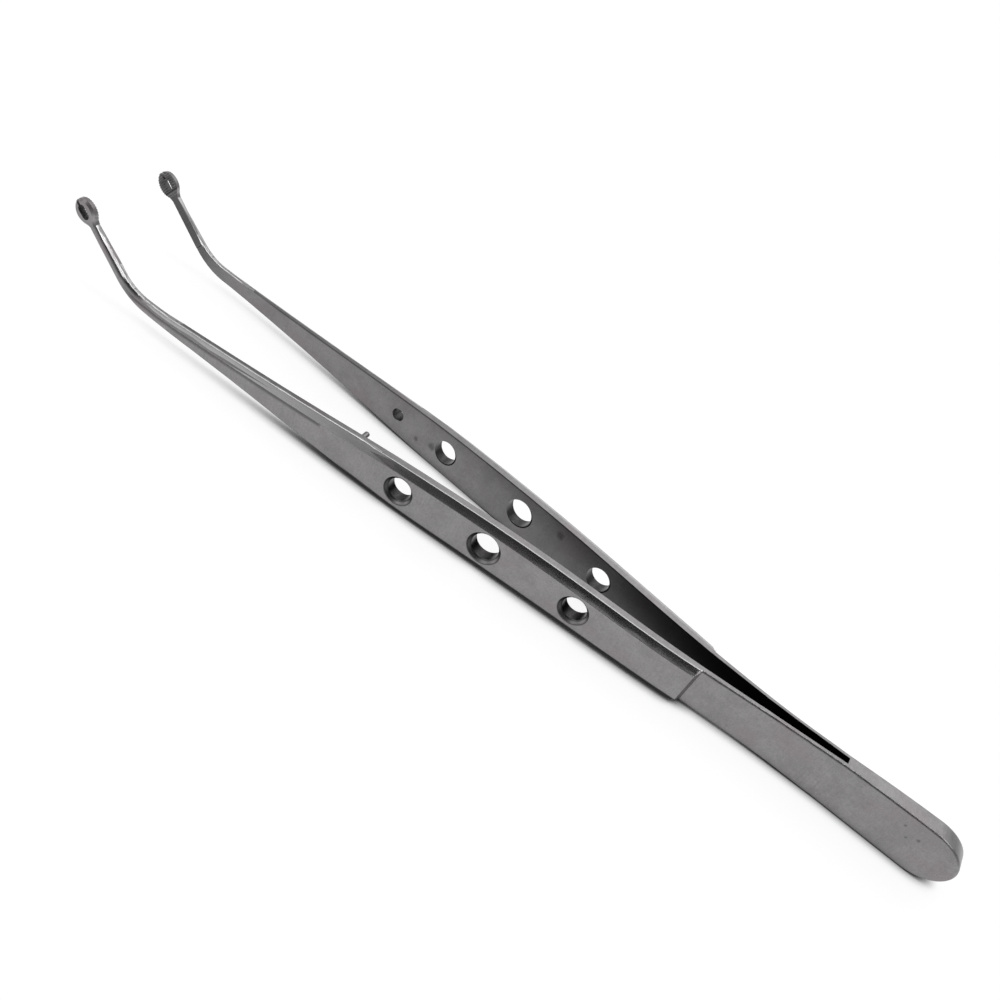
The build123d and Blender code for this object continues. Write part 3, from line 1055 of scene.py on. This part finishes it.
@dataclass
class Studio:
    """Pale floor, soft surroundings and lamps."""

    floor_size: float = 6.0
    floor_colour: Triple = (0.25, 0.25, 0.25)
    floor_glow: float = 0.82
    floor_drop: float = 0.02 * MM
    contact_shadow_reach: float = 3.0 * MM
    contact_shadow_span: Span = (0.30, 0.82)
    ambient: float = 0.62
    darkest: float = 0.02
    lobes: tuple[Lobe, ...] = (
        Lobe(-96.0, 40.0, 0.80, 32.0),
        Lobe(92.0, 66.0, -0.58, 38.0),
        Lobe(38.0, 44.0, 0.50, 24.0),
        Lobe(112.0, 26.0, -0.25, 26.0),
        Lobe(160.0, 48.0, -0.56, 44.0),
        Lobe(160.0, 51.5, 4.4, 15.0),
    )
    strip_level: float = 1.9
    strip_rise: float = 0.8
    strip_back: Span = (0.0, -0.35)
    strip_sides: tuple[Span, Span] = ((-0.34, -0.20), (0.03, -0.09))
    strip_ends: tuple[Span, Span] = ((0.62, 0.40), (-0.70, -0.55))
    strip_foot: Span = (0.2, 0.4)

    def build(self) -> None:
        """Makes the floor and the world."""
        self._floor()
        self._world()
        LOG.info("studio: floor and surroundings")

    def _floor(self) -> None:
        """A large plain sheet under the object, white to the camera and in the steel, with a painted
        contact shadow where its glow dims near the object.
        """
        mesh = bmesh.new()
        bmesh.ops.create_grid(mesh, x_segments=2, y_segments=2, size=self.floor_size / 2.0)
        data = bpy.data.meshes.new("floor")
        mesh.to_mesh(data)
        mesh.free()
        floor = bpy.data.objects.new("floor", data)
        bpy.context.scene.collection.objects.link(floor)
        floor.location.z = -self.floor_drop
        made = bpy.data.materials.new("floor_paper")
        made.use_nodes = True
        bench = ShaderBench(made.node_tree)
        path = bench.node("ShaderNodeLightPath").outputs
        rays = [Signal(bench, path[f"Is {kind} Ray"]) for kind in ("Camera", "Glossy", "Transmission")]
        seen = bench.maths("MAXIMUM", bench.maths("MAXIMUM", rays[0], rays[1]), rays[2])
        # painted contact shadow: the glow dims where ambient occlusion finds the object close
        near = bench.node(
            "ShaderNodeAmbientOcclusion", {"samples": 16}, {"Distance": self.contact_shadow_reach}
        ).outputs["AO"]
        seen = seen * Signal(bench, near).over(self.contact_shadow_span)
        paper = bench.node("ShaderNodeBsdfDiffuse", inputs={"Color": self.floor_colour})
        glow = bench.node(
            "ShaderNodeEmission", inputs={"Color": (1.0, 1.0, 1.0), "Strength": seen * self.floor_glow}
        )
        both = bench.node("ShaderNodeAddShader", inputs={0: paper, 1: glow})
        bench.node("ShaderNodeOutputMaterial", inputs={"Surface": both})
        data.materials.append(made)

    def _world(self) -> None:
        """Surroundings that are white to the camera and softly uneven to the object."""
        world = bpy.data.worlds.new("studio")
        bpy.context.scene.world = world
        world.use_nodes = True
        bench = ShaderBench(world.node_tree)
        towards = bench.node("ShaderNodeTexCoord").outputs["Generated"]
        level: Number = self.ambient
        for lobe in self.lobes:
            facing = bench.node(
                "ShaderNodeVectorMath",
                {"operation": "DOT_PRODUCT"},
                {0: towards, 1: lobe.direction()},
            ).outputs["Value"]
            rim = math.cos(math.radians(lobe.reach_deg))
            level = Signal(bench, facing).step(rim, 1.0) * lobe.strength + level
        level = bench.maths("MAXIMUM", level, self.darkest) + self._strip(bench, towards)
        white = Signal(bench, bench.node("ShaderNodeLightPath").outputs["Is Camera Ray"])
        level = white + (1.0 - white) * level
        sky = bench.node("ShaderNodeBackground", inputs={"Color": (1.0, 1.0, 1.0), "Strength": level})
        bench.node("ShaderNodeOutputWorld", inputs={"Surface": sky})

    def _strip(self, bench: ShaderBench, towards: bpy.types.NodeSocket) -> Signal:
        """A long narrow lamp overhead, along the object, brighter over its tips' back.

        Args:
            bench: where the nodes go.
            towards: direction that a ray looks in.

        Returns:
            The strip's own level.
        """
        x, y, z = bench.axes(towards)
        across = y.over(self.strip_sides[0]) * y.over(self.strip_sides[1])
        along = x.over(self.strip_ends[0]) * x.over(self.strip_ends[1])
        level = x.over(self.strip_back) * self.strip_rise + self.strip_level
        return across * along * z.over(self.strip_foot) * level


@dataclass(frozen=True)
class PhotoCamera:
    """The viewpoint of the photograph, which is turned about its own axis."""

    place: Triple = (-0.022796, 0.126412, 0.114243)
    aim: Triple = (0.003458, -0.004467, 0.004)
    roll_deg: float = 30.102
    lens_mm: float = 40.479
    sensor_mm: float = 36.0
    clip: Span = (0.005, 20.0)

    def build(self) -> bpy.types.Object:
        """Makes the camera and sets it as the scene's.

        Returns:
            The camera object.
        """
        data = bpy.data.cameras.new("photo_camera")
        data.lens, data.sensor_width, data.sensor_fit = self.lens_mm, self.sensor_mm, "AUTO"
        data.clip_start, data.clip_end = self.clip
        camera = bpy.data.objects.new("photo_camera", data)
        bpy.context.scene.collection.objects.link(camera)
        look = (Vector(self.aim) - Vector(self.place)).to_track_quat("-Z", "Y").to_matrix().to_4x4()
        roll = Matrix.Rotation(math.radians(self.roll_deg), 4, "Z")
        camera.matrix_world = Matrix.Translation(self.place) @ look @ roll
        bpy.context.scene.camera = camera
        LOG.info("camera: %.1f mm lens", self.lens_mm)
        return camera


def steel_finishes_and_painted_light() -> dict[Surface, bpy.types.Material]:
    """One material for each grinding pass, several with painted shade and painted highlights in their
    colour.
    """
    # painted shade in the slit between the arms: the inner faces darken towards the tail
    painted_slit_shade = (Fade(-46.0 * MM, 0.07, 16.0 * MM, 0.87),)
    # painted shade on the lower bevels, darkest towards the tail, and painted light at the front
    under = (Fade(-30.0 * MM, 0.15, -8.0 * MM, 0.38), Fade(24.0 * MM, 1.0, 40.0 * MM, 1.25))
    # painted shade and light on the top bands: darker towards the front, lighter in the bend
    front = (Fade(22.0 * MM, 1.0, 38.0 * MM, 0.72), Fade(58.0 * MM, 1.0, 67.0 * MM, 1.22))
    # painted shade and light along the flutes: darker in front of the front hole, lighter towards the bend
    flute = (Fade(16.0 * MM, 1.0, 30.0 * MM, 0.66), Fade(42.0 * MM, 1.0, 56.0 * MM, 1.45))
    tip = (Fade(60.0 * MM, 0.95, 73.0 * MM, 0.42),)
    spots = (
        Smudge(-73.0 * MM, 6.0 * MM, 0.35 * MM),
        Smudge(-71.6 * MM, 5.1 * MM, 0.28 * MM),
        Smudge(-70.3 * MM, 6.8 * MM, 0.25 * MM),
    )
    stains = (
        Smudge(-7.5 * MM, 6.2 * MM, 0.8 * MM),
        Smudge(17.5 * MM, 3.0 * MM, 0.7 * MM),
        Smudge(20.5 * MM, 2.2 * MM, 0.5 * MM),
    )
    made = {
        # wide faces: the hole rims and edge lines are painted shade; the chatter and smudges are marks in
        # the steel
        Surface.FLAT: GroundSteel(
            "steel_flat",
            chatter=1.0,
            holes=GRIP_HOLES,
            lines=(LOWER_SHADE_LINE, FRONT_SHADE_LINE),
            smudges=spots,
        ),
        # inner faces: the slit fade, hole rims and upper line are painted shade; the stains are marks in
        # the steel
        Surface.INNER: GroundSteel(
            "steel_inner",
            roughness=0.42,
            fades=painted_slit_shade,
            holes=PLAIN_HOLES,
            lines=(UPPER_SHADE_LINE,),
            smudges=stains,
        ),
        Surface.EDGE: GroundSteel(
            "steel_edge",
            roughness=0.34,
            grain=(1800.0, 300.0, 5200.0),
            grain_height=0.0000005,
            grain_tone=0.16,
            fades=front,
        ),
        Surface.FLUTE: GroundSteel(
            "steel_flute",
            roughness=0.24,
            grain=(200.0, 6000.0, 6000.0),
            grain_height=0.0000003,
            grain_tone=0.22,
            fades=flute,
        ),
        Surface.UNDER: GroundSteel("steel_under_painted_shade", roughness=0.36, fades=under),
        # countersinks: the rim and corner lines and the darker side towards the tips are painted shade
        Surface.SINK: GroundSteel(
            "steel_sink",
            roughness=0.30,
            grain=(2500.0, 7000.0, 2500.0),
            holes=GRIP_HOLES,
            hole_shade=0.72,
        ),
        # hole walls: the low tone, the rim lines and the darker side towards the tips are painted shade
        Surface.BORE: GroundSteel(
            "steel_bore_painted_shade",
            tone=0.50,
            roughness=0.32,
            grain=(2500.0, 900.0, 2500.0),
            grain_tone=0.30,
            holes=GRIP_HOLES,
            hole_shade=0.45,
        ),
        Surface.GRIP: GroundSteel("steel_grip", roughness=0.52, grain=(6500.0, 6500.0, 6500.0), fades=tip),
        Surface.SHANK: GroundSteel(
            "steel_shank",
            tone=1.12,
            roughness=0.27,
            grain_height=0.0000001,
            grain_tone=0.08,
            speck=0.05,
        ),
        # polished ridges; their lighter colour is a painted highlight
        Surface.RIDGE: GroundSteel(
            "steel_ridge_painted_highlight",
            light=(0.46, 0.455, 0.458),
            dark=(0.38, 0.375, 0.378),
            stain=(0.42, 0.40, 0.41),
            roughness=0.20,
            grain=(300.0, 5200.0, 5200.0),
            grain_height=0.0000001,
            mottle=0.3,
            speck=0.05,
        ),
        # small roundings that don't face up: their low tone is painted shade
        Surface.TRIM: GroundSteel("steel_trim_painted_shade", tone=0.22, roughness=0.38),
        # walls of the pin hole and the ring's hole: their low tone is painted shade
        Surface.DEEP: GroundSteel("steel_deep_painted_shade", tone=0.30, roughness=0.40, grain_tone=0.30),
    }
    return {surface: steel.material() for surface, steel in made.items()}


def main() -> None:
    """Builds the dressed tweezers, piece by piece."""
    logging.basicConfig(level=logging.INFO, format="%(name)s: %(message)s")
    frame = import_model()
    bpy.context.scene.view_settings.view_transform = "Standard"
    PhotoCamera().build()
    Studio().build()
    finishes = steel_finishes_and_painted_light()
    for side in Side:
        SpringArm(side, finishes).build(frame)
    TailBlock(finishes).build(frame)
    GuidePin(GroundSteel("steel_pin", roughness=0.3, grain=(7000.0, 900.0, 7000.0)).material()).dress(frame)


if __name__ == "__main__":
    main()
